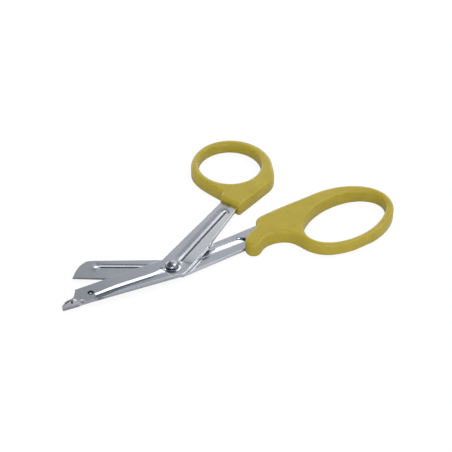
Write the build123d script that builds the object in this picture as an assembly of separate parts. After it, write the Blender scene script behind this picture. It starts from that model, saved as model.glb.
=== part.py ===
from build123d import *
import math
import os

# Bandage scissors: two stamped steel halves on one rivet, each with a moulded plastic handle.
# Millimetres. The origin is on the pivot axis, at the level that the scissors rest on.
# +X runs along the picture of the open scissors from tips to handles, +Z is up.
# Each half is drawn in its own frame: origin on the pivot, +X along the shank to the handle.

# Steel sheet and the stack at the pivot
sheet = 1.8
blade_gap = 0.05
lower_head_height = 1.35

# Directions of the two shanks in the resting, half open pose, in degrees from +X
thumb_direction = 58.7
finger_direction = 33.6

# Rivet
shaft_diameter = 4.0
running_clearance = 0.05
dome_diameter = 6.6
dome_height = 2.1
dome_rim = 0.35
dome_shoulder = 0.72
dome_gap = 0.04
lower_head_diameter = 7.4
lower_flat_diameter = 4.4
lower_head_bulge = 0.25

# Probe blade: the half with the notch and the blunt, turned up foot
probe_bend = 29.6
probe_edge_offset = 6.7
probe_edge_length = 50.8
probe_back_offset = 8.5
probe_back_taper = 5.2
notch_depth = 4.3
notch_rake = 32.0
foot_reach = 61.7
probe_heel_radius = 4.5
probe_port_offset = 6.9
probe_starboard_offset = 9.0
probe_starboard_taper = 1.9
shoulder_distance = 22.7
shoulder_length = 4.6
shoulder_step = 1.15
probe_upper_taper = 6.3
inner_corner_radius = 1.2

# Foot: a flange turned up along the back edge at the tip, cut to a rounded tongue
foot_height = 3.2
foot_length = 12.0
foot_peak = 5.0
foot_tip_height = 0.8
foot_outer_radius = 0.8
foot_inner_radius = 0.5
foot_set_off = 0.6
foot_nose_width = 2.1
foot_nose_set_back = 0.5
foot_shoulder_x = 5.0
foot_shoulder_y = 4.3

# Plain blade: the half with the round nosed blade
plain_bend = 35.7
plain_edge_offset = 9.6
plain_edge_length = 49.9
plain_back_offset = 7.15
plain_back_taper = 3.1
plain_nose_start = 41.0
plain_nose_x = 47.3
plain_nose_y = 0.8
plain_nose_rake = 3.0
plain_heel_start = 13.0
plain_heel_end = 3.5
plain_heel_offset = 5.0
plain_shank_upper = 5.6
plain_shank_lower = 7.6
grind_width = 2.6
grind_land = 0.25

# Beads pressed outwards from each blade, hollow on the inside: each runs between round ends
bead_height = 0.8
bead_draft = 50.0
hollow_inset = 0.25
probe_bead_tip_x = -44.9
probe_bead_tip_y = -0.9
probe_bead_tip_radius = 1.5
probe_bead_knee_distance = 6.1
probe_bead_knee_angle = -104.8
probe_bead_knee_radius = 2.3
probe_bead_end_x = 52.0
probe_bead_end_y = 1.0
probe_bead_end_radius = 2.3
plain_blade_bead_tip_x = -39.2
plain_blade_bead_tip_y = 0.45
plain_blade_bead_heel_x = -9.0
plain_blade_bead_heel_y = 1.2
plain_blade_bead_radius = 1.8
plain_shank_bead_start_x = 10.5
plain_shank_bead_start_y = 0.6
plain_shank_bead_end_x = 42.4
plain_shank_bead_end_y = -0.7
plain_shank_bead_radius = 2.2

# Tangs, moulded into the handles
tang_step = 1.2
probe_tang_start = 63.0
probe_tang_port = 2.8
probe_tang_starboard = 2.6
probe_tang_end = 77.5
plain_tang_start = 60.0
plain_tang_end = 66.5
tang_end_radius = 2.4

# Thumb handle: the hole, the walls round it, the mouth that holds the shank and the stop wall
thumb_thickness = 8.0
thumb_ring_thickness = 6.6
thumb_edge_radius = 1.75
thumb_hole_x = 90.6
thumb_hole_y = 20.0
thumb_hole_long = 19.6
thumb_hole_short = 17.8
thumb_hole_angle = 37.0
thumb_rim_turn = -3.0
thumb_wall_far = 4.6
thumb_wall_near = 9.5
thumb_wall_port = 4.4
thumb_wall_starboard = 6.3
thumb_rim_start = -88.0
thumb_rim_end = 92.0
thumb_mouth_x = 58.7
thumb_mouth_y = -5.6
thumb_mouth_width = 13.6
thumb_mouth_angle = 82.5
thumb_mouth_corner = 1.6
thumb_neck_x = 64.7
thumb_neck_y = 9.5
thumb_neck_angle = 79.0
stop_wall_angle = -6.8
stop_wall_length = 27.0
thumb_taper_start = 72.0

# Finger handle: the hole, the walls round it, the straight back, the mouth, the lobe and the finger notch
finger_thickness = 8.4
finger_ring_thickness = 6.8
finger_edge_radius = 1.75
finger_hole_x = 97.8
finger_hole_y = -18.8
finger_hole_long = 27.0
finger_hole_short = 16.2
finger_hole_angle = 9.0
finger_rim_turn = -8.3
finger_wall_far = 4.1
finger_wall_near = 8.2
finger_wall_back = 9.6
finger_wall_front = 4.1
finger_rim_end = 240.0
back_edge_x = 60.2
back_edge_y = 6.2
back_bulge_angle = 4.0
mouth_top_x = 54.4
mouth_top_y = 2.6
mouth_middle_x = 48.5
mouth_middle_y = -1.5
mouth_corner_angle = 66.0
lobe_x = 44.5
lobe_y = -9.6
lobe_radius = 4.3
lobe_start = -55.0
lobe_end = -200.0
notch_x = 55.2
notch_y = -10.5
notch_corner_x = 64.4
notch_corner_y = -14.6
notch_ring_x = 67.6
notch_ring_y = -24.3
finger_taper_start = -5.0
finger_slab_margin = 1.2

# An edge between a face and a wall climbs less than this and is longer than this
rim_edge_climb = 1.2
rim_edge_least = 0.01

# Levels
plain_bottom = lower_head_height
plain_top = plain_bottom + sheet
probe_bottom = plain_top + blade_gap
probe_top = probe_bottom + sheet


def turned(x, y, angle):
    """A point turned about the origin by an angle in degrees."""
    a = math.radians(angle)
    return (x * math.cos(a) - y * math.sin(a), x * math.sin(a) + y * math.cos(a))


def crossing(offset_a, angle_a, offset_b, angle_b):
    """Where two lines meet. Each runs at its angle and passes the origin at its offset, left positive."""
    ax, ay = -math.sin(math.radians(angle_a)), math.cos(math.radians(angle_a))
    bx, by = -math.sin(math.radians(angle_b)), math.cos(math.radians(angle_b))
    det = ax * by - ay * bx
    return ((offset_a * by - offset_b * ay) / det, (ax * offset_b - bx * offset_a) / det)


def plate(outline, bottom, thickness):
    """A flat blank of sheet with the given outline."""
    return Pos(0, 0, bottom) * extrude(make_face(outline), thickness)


def upright_edge_at(solid, x, y, reach=0.6):
    """The upright edges of a blank that stand at one corner."""
    found = []
    for edge in solid.edges().filter_by(Axis.Z):
        centre = edge.center()
        if math.hypot(centre.X - x, centre.Y - y) < reach:
            found.append(edge)
    return found


def strip(x1, y1, radius1, x2, y2, radius2):
    """The plan of one straight bead: two round ends and the lines that touch both."""
    length = math.hypot(x2 - x1, y2 - y1)
    along = math.degrees(math.atan2(y2 - y1, x2 - x1))
    lean = math.degrees(math.acos((radius1 - radius2) / length))
    left1 = turned(radius1, 0, along + lean)
    left2 = turned(radius2, 0, along + lean)
    right1 = turned(radius1, 0, along - lean)
    right2 = turned(radius2, 0, along - lean)
    back1 = turned(radius1, 0, along + 180)
    tip2 = turned(radius2, 0, along)
    outline = [
        ThreePointArc((x1 + left1[0], y1 + left1[1]), (x1 + back1[0], y1 + back1[1]),
                      (x1 + right1[0], y1 + right1[1])),
        Line((x1 + right1[0], y1 + right1[1]), (x2 + right2[0], y2 + right2[1])),
        ThreePointArc((x2 + right2[0], y2 + right2[1]), (x2 + tip2[0], y2 + tip2[1]),
                      (x2 + left2[0], y2 + left2[1])),
        Line((x2 + left2[0], y2 + left2[1]), (x1 + left1[0], y1 + left1[1])),
    ]
    return make_face(outline)


def raised(face, level, height):
    """A bead as a drafted pad on a level, upwards for a positive height and downwards for a negative one."""
    pad = extrude(face, abs(height), taper=bead_draft)
    if height < 0:
        pad = mirror(pad, about=Plane.XY)
    return Pos(0, 0, level) * pad


def bead(x1, y1, radius1, x2, y2, radius2, outer_level, inner_level, height):
    """The pad that a bead raises on the outside of a blade and the hollow that it leaves inside."""
    pad = raised(strip(x1, y1, radius1, x2, y2, radius2), outer_level, height)
    small1 = radius1 - hollow_inset
    small2 = radius2 - hollow_inset
    hollow = raised(strip(x1, y1, small1, x2, y2, small2), inner_level, height)
    return pad, hollow


def foot_tip():
    """The outermost point of the back edge of the probe blade, in the frame of its cutting edge."""
    y = -probe_back_offset / math.cos(math.radians(probe_back_taper))
    return (-foot_reach, y + foot_reach * math.tan(math.radians(probe_back_taper)))


def probe_blank():
    """The flat outline of the probe blade with its shank, before bending and pressing."""
    def from_blade(x, y):
        return turned(x, y, -probe_bend)

    port = crossing(probe_port_offset, 0, probe_edge_offset, -probe_bend)
    back_angle = -probe_bend - probe_back_taper
    heel = crossing(-probe_back_offset, back_angle, -probe_starboard_offset, probe_starboard_taper)
    notch_top = (-probe_edge_length, probe_edge_offset)
    notch_low_x = notch_top[0] - notch_depth * math.tan(math.radians(notch_rake))
    notch_low_y = notch_top[1] - notch_depth
    tip = foot_tip()
    nose = turned(foot_nose_set_back, foot_nose_width, -probe_back_taper)
    shoulder = turned(foot_shoulder_x, foot_shoulder_y, -probe_back_taper)
    low1 = shoulder_distance
    low1_y = -probe_starboard_offset + low1 * math.tan(math.radians(probe_starboard_taper))
    low2 = low1 + shoulder_length
    low2_y = low1_y + shoulder_step
    low3 = probe_tang_start
    low3_y = low2_y + (low3 - low2) * math.tan(math.radians(probe_upper_taper))
    points = [
        (probe_tang_start, probe_port_offset),
        port,
        from_blade(*notch_top),
        from_blade(notch_low_x, notch_low_y),
        from_blade(tip[0] + shoulder[0], tip[1] + shoulder[1]),
        from_blade(tip[0] + nose[0], tip[1] + nose[1]),
        from_blade(*tip),
        heel,
        (low1, low1_y),
        (low2, low2_y),
        (low3, low3_y),
        (low3 + tang_step, -probe_tang_starboard),
        (probe_tang_end, -probe_tang_starboard),
        (probe_tang_end, probe_tang_port),
        (low3 + tang_step, probe_tang_port),
    ]
    blank = plate(Polyline(*points, close=True), probe_bottom, sheet)
    blank = fillet(upright_edge_at(blank, *heel), probe_heel_radius)
    blank = fillet(upright_edge_at(blank, *port), inner_corner_radius)
    ends = upright_edge_at(blank, probe_tang_end, probe_tang_port)
    ends += upright_edge_at(blank, probe_tang_end, -probe_tang_starboard)
    return fillet(ends, tang_end_radius)


def add_foot(blank):
    """The blank with its tip bent up: the strip beside the back edge gives way to a bent flange."""
    top = sheet + foot_height
    outer = foot_outer_radius
    bend = sheet + foot_inner_radius
    near = outer * (1 - math.sqrt(0.5))
    far = bend - foot_inner_radius * math.sqrt(0.5)
    section = make_face([
        Line((bend, 0), (outer, 0)),
        ThreePointArc((outer, 0), (near, near), (0, outer)),
        Line((0, outer), (0, top)),
        Line((0, top), (sheet, top)),
        Line((sheet, top), (sheet, bend)),
        ThreePointArc((sheet, bend), (far, far), (bend, sheet)),
        Line((bend, sheet), (bend, 0)),
    ])
    strip_solid = extrude(Plane.YZ * section, foot_length)
    tongue = make_face([
        Line((0, 0), (foot_length, 0)),
        Line((foot_length, 0), (foot_length, sheet)),
        Spline((foot_length, sheet), (foot_peak, top), (0, foot_tip_height),
               tangents=[(-1, 0.15), (0, -1)]),
        Line((0, foot_tip_height), (0, 0)),
    ])
    flange = strip_solid & extrude(Plane.XZ * tongue, bend, both=True)
    cleared = Pos(0, 0, sheet / 2) * Box(foot_length * 2, bend * 2, sheet * 2)
    tip = foot_tip()
    place = Rot(0, 0, -probe_bend) * Pos(tip[0], tip[1], probe_bottom) * Rot(0, 0, -probe_back_taper)
    return blank - place * cleared + place * Pos(0, -foot_set_off, 0) * flange


def probe_blade():
    """The stamped half with the notch: blank, foot, bead and the hole for the rivet."""
    blade = add_foot(probe_blank())
    knee = turned(probe_bead_knee_distance, 0, probe_bead_knee_angle)
    tip = turned(probe_bead_tip_x, probe_bead_tip_y, -probe_bend)
    legs = [
        (tip[0], tip[1], probe_bead_tip_radius, knee[0], knee[1], probe_bead_knee_radius),
        (knee[0], knee[1], probe_bead_knee_radius,
         probe_bead_end_x, probe_bead_end_y, probe_bead_end_radius),
    ]
    for leg in legs:
        pad, hollow = bead(*leg, probe_top, probe_bottom, bead_height)
        blade = blade - hollow + pad
    hole = Cylinder(shaft_diameter / 2 + running_clearance, probe_top * 4)
    return blade - hole


def plain_blank():
    """The flat outline of the round nosed blade with its shank."""
    def from_blade(x, y):
        return turned(x, y, -plain_bend)

    port = crossing(plain_shank_upper, 0, plain_back_offset, plain_back_taper - plain_bend)
    back_y = plain_back_offset / math.cos(math.radians(plain_back_taper))
    nose_y = back_y - plain_nose_start * math.tan(math.radians(plain_back_taper))
    nose_start = from_blade(-plain_nose_start, nose_y)
    nose_middle = from_blade(-plain_nose_x, plain_nose_y)
    nose_end = from_blade(-plain_edge_length, -plain_edge_offset)
    heel = crossing(-plain_heel_offset, -plain_bend, -plain_shank_lower, 0)
    points = [
        nose_end,
        from_blade(-plain_heel_start, -plain_edge_offset),
        from_blade(-plain_heel_end, -plain_heel_offset),
        heel,
        (plain_tang_start, -plain_shank_lower),
        (plain_tang_start + tang_step, tang_step - plain_shank_lower),
        (plain_tang_end, tang_step - plain_shank_lower),
        (plain_tang_end, plain_shank_upper - tang_step),
        (plain_tang_start + tang_step, plain_shank_upper - tang_step),
        (plain_tang_start, plain_shank_upper),
        port,
        nose_start,
    ]
    along_back = turned(-1, 0, plain_back_taper - plain_bend)
    down_edge = turned(0, -1, -plain_nose_rake - plain_bend)
    nose = Spline(nose_start, nose_middle, nose_end, tangents=[along_back, down_edge])
    blank = plate([Polyline(*points), nose], plain_bottom, sheet)
    ends = upright_edge_at(blank, plain_tang_end, plain_shank_upper - tang_step)
    ends += upright_edge_at(blank, plain_tang_end, tang_step - plain_shank_lower)
    return fillet(ends, tang_end_radius)


def grind():
    """The wedge ground off under the cutting edge of the plain blade, which leaves a narrow land."""
    section = make_face(Polyline(
        (-grind_width, -sheet), (grind_width, -sheet), (grind_width, 0), (0, sheet - grind_land),
        (-grind_width, sheet - grind_land), close=True))
    length = plain_edge_length - plain_heel_start
    place = Pos(-plain_edge_length - grind_width, -plain_edge_offset, plain_bottom)
    return Rot(0, 0, -plain_bend) * place * extrude(Plane.YZ * section, length + grind_width)


def plain_blade():
    """The stamped half with the round nose: blank, ground edge, two beads and the seat of the shaft."""
    blade = plain_blank() - grind()
    tip = turned(plain_blade_bead_tip_x, plain_blade_bead_tip_y, -plain_bend)
    heel = turned(plain_blade_bead_heel_x, plain_blade_bead_heel_y, -plain_bend)
    beads = [
        (*tip, plain_blade_bead_radius, *heel, plain_blade_bead_radius),
        (plain_shank_bead_start_x, plain_shank_bead_start_y, plain_shank_bead_radius,
         plain_shank_bead_end_x, plain_shank_bead_end_y, plain_shank_bead_radius),
    ]
    for one in beads:
        pad, hollow = bead(*one, plain_bottom, plain_top, -bead_height)
        blade = blade - hollow + pad
    return blade - Cylinder(shaft_diameter / 2, plain_top * 4)


def rivet():
    """The rivet: a polished dome above, the shaft, and a low formed head with a flat under the blades."""
    shaft = shaft_diameter / 2
    dome = dome_diameter / 2
    low = lower_head_diameter / 2
    flat = lower_flat_diameter / 2
    seat = probe_top + dome_gap
    crown = seat + dome_height
    middle = dome * dome_shoulder
    shoulder = crown - dome_height * (1 - dome_shoulder)
    bulge = (flat + low) / 2 + lower_head_bulge
    profile = make_face([
        Line((0, 0), (flat, 0)),
        ThreePointArc((flat, 0), (bulge, lower_head_height * 2 / 5), (low, lower_head_height)),
        Line((low, lower_head_height), (shaft, lower_head_height)),
        Line((shaft, lower_head_height), (shaft, seat)),
        Line((shaft, seat), (dome, seat)),
        Line((dome, seat), (dome, seat + dome_rim)),
        Spline((dome, seat + dome_rim), (middle, shoulder), (0, crown),
               tangents=[(-0.12, 1), (-1, 0)]),
        Line((0, crown), (0, 0)),
    ])
    return revolve(Plane.XZ * profile, Axis.Z)


def rim(hole_x, hole_y, long_radius, short_radius, angle, far, near, port, starboard):
    """Centre and radii of the outer ellipse of a ring, from its hole and the four walls round it."""
    along = (far - near) / 2
    across = (port - starboard) / 2
    shift = turned(along, across, angle)
    centre = (hole_x + shift[0], hole_y + shift[1])
    return centre, long_radius + (far + near) / 2, short_radius + (port + starboard) / 2


def touch_angle(point, centre, long_radius, short_radius, angle, side):
    """The ellipse angle at which a line from a point outside touches it. Side is 1 or -1."""
    x, y = turned(point[0] - centre[0], point[1] - centre[1], -angle)
    x, y = x / long_radius, y / short_radius
    return math.degrees(math.atan2(y, x) + side * math.acos(1 / math.hypot(x, y)))


def thumb_outline():
    """The outer outline of the thumb handle: mouth, stop wall, ring and the line back to the mouth."""
    centre, long_radius, short_radius = rim(
        thumb_hole_x, thumb_hole_y, thumb_hole_long, thumb_hole_short, thumb_hole_angle,
        thumb_wall_far, thumb_wall_near, thumb_wall_port, thumb_wall_starboard)
    angle = thumb_hole_angle + thumb_rim_turn
    low = (thumb_mouth_x, thumb_mouth_y)
    reach = turned(thumb_mouth_width, 0, thumb_mouth_angle)
    high = (low[0] + reach[0], low[1] + reach[1])
    wall = turned(stop_wall_length, 0, stop_wall_angle)
    wall_end = (low[0] + wall[0], low[1] + wall[1])
    neck = (thumb_neck_x, thumb_neck_y)
    ring = EllipticalCenterArc(centre, long_radius, short_radius, start_angle=thumb_rim_start,
                               arc_size=thumb_rim_end - thumb_rim_start, rotation=angle)
    return [
        Line(high, low),
        Line(low, wall_end),
        Spline(wall_end, ring @ 0, tangents=[wall, ring % 0]),
        ring,
        Spline(ring @ 1, neck, tangents=[ring % 1, turned(-1, 0, thumb_neck_angle)]),
        Line(neck, high),
    ]


def finger_outline():
    """The outer outline of the finger handle: back, ring, finger notch, lobe and mouth."""
    centre, long_radius, short_radius = rim(
        finger_hole_x, finger_hole_y, finger_hole_long, finger_hole_short, finger_hole_angle,
        finger_wall_far, finger_wall_near, finger_wall_back, finger_wall_front)
    angle = finger_hole_angle + finger_rim_turn
    back = (back_edge_x, back_edge_y)
    start = touch_angle(back, centre, long_radius, short_radius, angle, -1)
    ring = EllipticalCenterArc(centre, long_radius, short_radius, start_angle=start,
                               arc_size=-((start - finger_rim_end) % 360), rotation=angle)
    touch = ring @ 0
    along = turned(touch.X - back[0], touch.Y - back[1], back_bulge_angle)
    lobe = CenterArc((lobe_x, lobe_y), lobe_radius, lobe_start, lobe_end - lobe_start)
    mouth_top = (mouth_top_x, mouth_top_y)
    mouth_way = turned(1, 0, mouth_corner_angle)
    return [
        Spline(back, touch, tangents=[along, ring % 0]),
        ring,
        Spline(ring @ 1, (notch_ring_x, notch_ring_y), (notch_corner_x, notch_corner_y),
               (notch_x, notch_y), lobe @ 0, tangents=[ring % 1, lobe % 0]),
        lobe,
        Spline(lobe @ 1, (mouth_middle_x, mouth_middle_y), mouth_top, tangents=[lobe % 1, mouth_way]),
        Spline(mouth_top, back, tangents=[mouth_way, along]),
    ]


def tapered_slab(start, end, thickness, thin):
    """A slab of full thickness up to a start, from where both faces curve in to a thinner end."""
    drop = (thickness - thin) / 2
    middle = (start + end) / 2
    away = start - (end - start) * 3
    return make_face([
        Line((away, 0), (start, 0)),
        ThreePointArc((start, 0), (middle, drop / 4), (end, drop)),
        Line((end, drop), (end, thickness - drop)),
        ThreePointArc((end, thickness - drop), (middle, thickness - drop / 4), (start, thickness)),
        Line((start, thickness), (away, thickness)),
        Line((away, thickness), (away, 0)),
    ])


def rounded(solid, radius):
    """Every edge between a face and the walls of a moulding, rounded over."""
    upright = set(solid.edges().filter_by(Axis.Z))
    chosen = []
    for edge in solid.edges():
        climb = abs((edge @ 0).Z - (edge @ 1).Z)
        if climb < rim_edge_climb and edge.length > rim_edge_least and edge not in upright:
            chosen.append(edge)
    return fillet(chosen, radius)


def thumb_handle():
    """The moulded thumb ring with its neck, and the pocket that the tang fills."""
    place = Pos(thumb_hole_x, thumb_hole_y) * Rot(0, 0, thumb_hole_angle)
    hole = place * Ellipse(thumb_hole_long, thumb_hole_short)
    body = extrude(make_face(thumb_outline()), thumb_thickness)
    reach = turned(thumb_mouth_width, 0, thumb_mouth_angle)
    corners = upright_edge_at(body, thumb_mouth_x, thumb_mouth_y)
    corners += upright_edge_at(body, thumb_mouth_x + reach[0], thumb_mouth_y + reach[1])
    body = fillet(corners, thumb_mouth_corner)
    body = body - extrude(hole, thumb_thickness)
    far = thumb_hole_x + thumb_hole_long + thumb_wall_far
    slab = tapered_slab(thumb_taper_start, far, thumb_thickness, thumb_ring_thickness)
    body = body & extrude(Plane.XZ * slab, far, both=True)
    return rounded(body, thumb_edge_radius) - probe_blank()


def finger_handle():
    """The moulded finger ring with its lobe and finger notch, and the pocket that the tang fills."""
    place = Pos(finger_hole_x, finger_hole_y) * Rot(0, 0, finger_hole_angle)
    hole = place * Ellipse(finger_hole_long, finger_hole_short)
    body = extrude(make_face(finger_outline()), finger_thickness)
    body = body - extrude(hole, finger_thickness)
    far = finger_hole_short + finger_wall_front - finger_hole_y
    slab = tapered_slab(-finger_taper_start, far, finger_thickness, finger_ring_thickness)
    slab = Plane((0, 0, 0), x_dir=(0, -1, 0), z_dir=(-1, 0, 0)) * slab
    reach = finger_hole_x + finger_hole_long + finger_wall_far
    body = body & extrude(slab, reach * finger_slab_margin, both=True)
    return rounded(body, finger_edge_radius) - plain_blank()


os.makedirs("parts", exist_ok=True)
thumb_pose = Rot(0, 0, thumb_direction)
finger_pose = Rot(0, 0, finger_direction)
parts = {
    "probe_blade": thumb_pose * probe_blade(),
    "thumb_handle": thumb_pose * thumb_handle(),
    "plain_blade": finger_pose * plain_blade(),
    "finger_handle": finger_pose * finger_handle(),
    "pivot_rivet": rivet(),
}
for name, shape in parts.items():
    export_step(shape, f"parts/{name}.step")
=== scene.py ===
"""Bandage scissors: the looks of two stamped steel halves, two moulded plastic handles and a rivet."""

import math

import bpy
import numpy as np
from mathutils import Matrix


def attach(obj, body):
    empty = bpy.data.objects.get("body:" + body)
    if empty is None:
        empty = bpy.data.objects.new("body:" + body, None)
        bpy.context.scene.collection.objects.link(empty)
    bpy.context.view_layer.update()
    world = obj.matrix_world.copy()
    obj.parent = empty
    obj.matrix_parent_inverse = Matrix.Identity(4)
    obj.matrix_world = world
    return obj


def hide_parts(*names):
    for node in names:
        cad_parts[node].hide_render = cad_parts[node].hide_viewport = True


bl_info = {
    "name": "Bandage scissors looks",
    "version": (1, 0, 0),
    "blender": (4, 5, 0),
    "location": "3D View > Sidebar > Scissors",
    "description": "Stamped steel blades with pressed beads, moulded plastic handles, and a soft studio",
    "category": "Object",
}

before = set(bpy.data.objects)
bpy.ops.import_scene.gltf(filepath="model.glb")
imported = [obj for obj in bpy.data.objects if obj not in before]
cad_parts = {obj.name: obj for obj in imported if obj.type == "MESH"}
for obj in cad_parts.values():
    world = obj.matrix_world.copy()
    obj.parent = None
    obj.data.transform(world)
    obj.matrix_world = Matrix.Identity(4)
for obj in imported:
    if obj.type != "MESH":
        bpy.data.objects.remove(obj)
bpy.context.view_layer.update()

# One millimetre in metres
MM = 0.001


def turned(points, degrees):
    """Points in a plane turned about the origin: the rotation matrix times each row."""
    a = math.radians(degrees)
    x, y = np.asarray(points, float)[..., 0], np.asarray(points, float)[..., 1]
    return np.stack([x * math.cos(a) - y * math.sin(a), x * math.sin(a) + y * math.cos(a)], -1)


def meeting(offset_a, degrees_a, offset_b, degrees_b):
    """Where two lines meet: each has a direction and a distance from the origin, left positive."""
    a, b = math.radians(degrees_a), math.radians(degrees_b)
    normals = np.array([[-math.sin(a), math.cos(a)], [-math.sin(b), math.cos(b)]])
    return np.linalg.solve(normals, [offset_a, offset_b])


def rounded_corner(before, corner, after, radius, count):
    """An arc that touches both sides of a corner: its centre lies on the bisector, at the radius over the
    sine of half the corner's angle."""
    before, corner, after = (np.asarray(p, float) for p in (before, corner, after))
    u = (before - corner) / np.linalg.norm(before - corner)
    v = (after - corner) / np.linalg.norm(after - corner)
    half = math.acos(float(u @ v)) / 2
    centre = corner + (u + v) / np.linalg.norm(u + v) * radius / math.sin(half)
    start = corner + u * radius / math.tan(half) - centre
    end = corner + v * radius / math.tan(half) - centre
    a0, a1 = math.atan2(start[1], start[0]), math.atan2(end[1], end[0])
    sweep = (a1 - a0 + math.pi) % (2 * math.pi) - math.pi
    a = a0 + sweep * np.linspace(0, 1, count)
    return centre + radius * np.stack([np.cos(a), np.sin(a)], -1)


def rows_between(keys, step):
    """Rows across a plate: between two key rows, the left and right ends move in equal parts of at most
    a step."""
    left, right = [], []
    for (l0, r0), (l1, r1) in zip(keys[:-1], keys[1:]):
        l0, r0, l1, r1 = (np.asarray(p, float) for p in (l0, r0, l1, r1))
        count = max(1, math.ceil(max(np.linalg.norm(l1 - l0), np.linalg.norm(r1 - r0)) / step))
        t = (np.arange(count) / count)[:, None]
        left.append(l0 + (l1 - l0) * t)
        right.append(r0 + (r1 - r0) * t)
    left.append(np.asarray(keys[-1][0], float)[None])
    right.append(np.asarray(keys[-1][1], float)[None])
    return np.concatenate(left), np.concatenate(right)


def smooth(t):
    """Eased step: 3t squared less 2t cubed, with t held between 0 and 1."""
    t = np.clip(t, 0, 1)
    return t * t * (3 - 2 * t)


def band(x, start, end, soft):
    """One between start and end, nought outside, with eased sides."""
    return smooth((x - start) / soft + 0.5) * smooth((end - x) / soft + 0.5)


def distance_to_line(points, line):
    """Least distance from each point to a closed line of short straight runs: the point is dropped onto
    each run, held between its ends, and the shortest drop counts."""
    a, b = line, np.roll(line, -1, axis=0)
    run = b - a
    square = np.maximum((run**2).sum(-1), 1e-12)
    flat = points.reshape(-1, 2)
    best = np.full(len(flat), 1e9)
    for start in range(0, len(flat), 4000):
        p = flat[start:start + 4000, None, :]
        t = np.clip(((p - a) * run).sum(-1) / square, 0, 1)
        gap = p - (a + run * t[..., None])
        best[start:start + 4000] = np.sqrt((gap**2).sum(-1)).min(1)
    return best.reshape(points.shape[:-1])


def along_path(points, path):
    """For each point: the distance to the nearest place of an open path, left positive by the sign of
    the cross product with the run there, and the length of the path up to that place."""
    a, b = path[:-1], path[1:]
    run = b - a
    length = np.sqrt((run**2).sum(-1))
    reached = np.concatenate([[0], np.cumsum(length)[:-1]])
    flat = points.reshape(-1, 2)
    side, place = np.empty(len(flat)), np.empty(len(flat))
    for start in range(0, len(flat), 4000):
        p = flat[start:start + 4000, None, :]
        t = np.clip(((p - a) * run).sum(-1) / length**2, 0, 1)
        gap = p - (a + run * t[..., None])
        far = np.sqrt((gap**2).sum(-1))
        nearest = far.argmin(1)
        row = np.arange(len(nearest))
        g = gap[row, nearest]
        r = run[nearest]
        sign = np.where(r[:, 0] * g[:, 1] - r[:, 1] * g[:, 0] >= 0, 1.0, -1.0)
        side[start:start + 4000] = far[row, nearest] * sign
        place[start:start + 4000] = reached[nearest] + t[row, nearest] * length[nearest]
    return side.reshape(points.shape[:-1]), place.reshape(points.shape[:-1])


def curve_through(points, step):
    """A smooth path through points: Catmull-Rom cubics, sampled about a step apart."""
    p = np.asarray(points, float)
    p = np.concatenate([2 * p[:1] - p[1:2], p, 2 * p[-1:] - p[-2:-1]])
    out = []
    for a, b, c, d in zip(p[:-3], p[1:-2], p[2:-1], p[3:]):
        t = np.arange(0, 1, step / np.linalg.norm(c - b))[:, None]
        out.append(0.5 * (2 * b + (c - a) * t + (2 * a - 5 * b + 4 * c - d) * t**2
                          + (3 * b - a - 3 * c + d) * t**3))
    out.append(p[-2:-1])
    return np.concatenate(out)


def crossing(left, right, guide):
    """For each row, the part of its length at which it crosses a guide line: where the distance to the
    guide changes sign between two samples, found by a straight line between them. Rows that miss the
    guide take the value of their neighbours."""
    t = np.linspace(0, 1, 60)
    side = along_path(left[:, None] + (right - left)[:, None] * t[:, None], guide)[0]
    change = (side[:, :-1] > 0) & (side[:, 1:] <= 0)
    first = change.argmax(1)
    row = np.arange(len(left))
    a, b = side[row, first], side[row, first + 1]
    found = change.any(1)
    part = t[first] + np.where(found, a / np.where(found, a - b, 1), 0) * (t[1] - t[0])
    return np.interp(row, row[found], part[found])


def across(left, right, columns, rim, guide):
    """Points of each row from its left end to its right end, crowded within a rim's width of both ends,
    and moved along the row so that the same column follows the guide line on every row."""
    width = np.linalg.norm(right - left, axis=1)
    near = np.array([0, 0.1, 0.3, 0.6, 1.0, 1.6]) * rim
    scale = np.minimum(1, width / (near[-1] * 4))[:, None] / np.maximum(width, 1e-6)[:, None]
    first = near * scale
    inner = first[:, -1:] + (1 - 2 * first[:, -1:]) * np.linspace(0, 1, columns)[None, 1:-1]
    t = np.concatenate([first, inner, 1 - first[:, ::-1]], axis=1)
    met = crossing(left, right, guide)[:, None]
    column = np.abs(t - np.median(met)).mean(0).argmin()
    held = t[:, column:column + 1]
    t = np.where(t <= held, t * met / held, 1 - (1 - t) * (1 - met) / (1 - held))
    return left[:, None, :] + (right - left)[:, None, :] * t[..., None]


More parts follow.
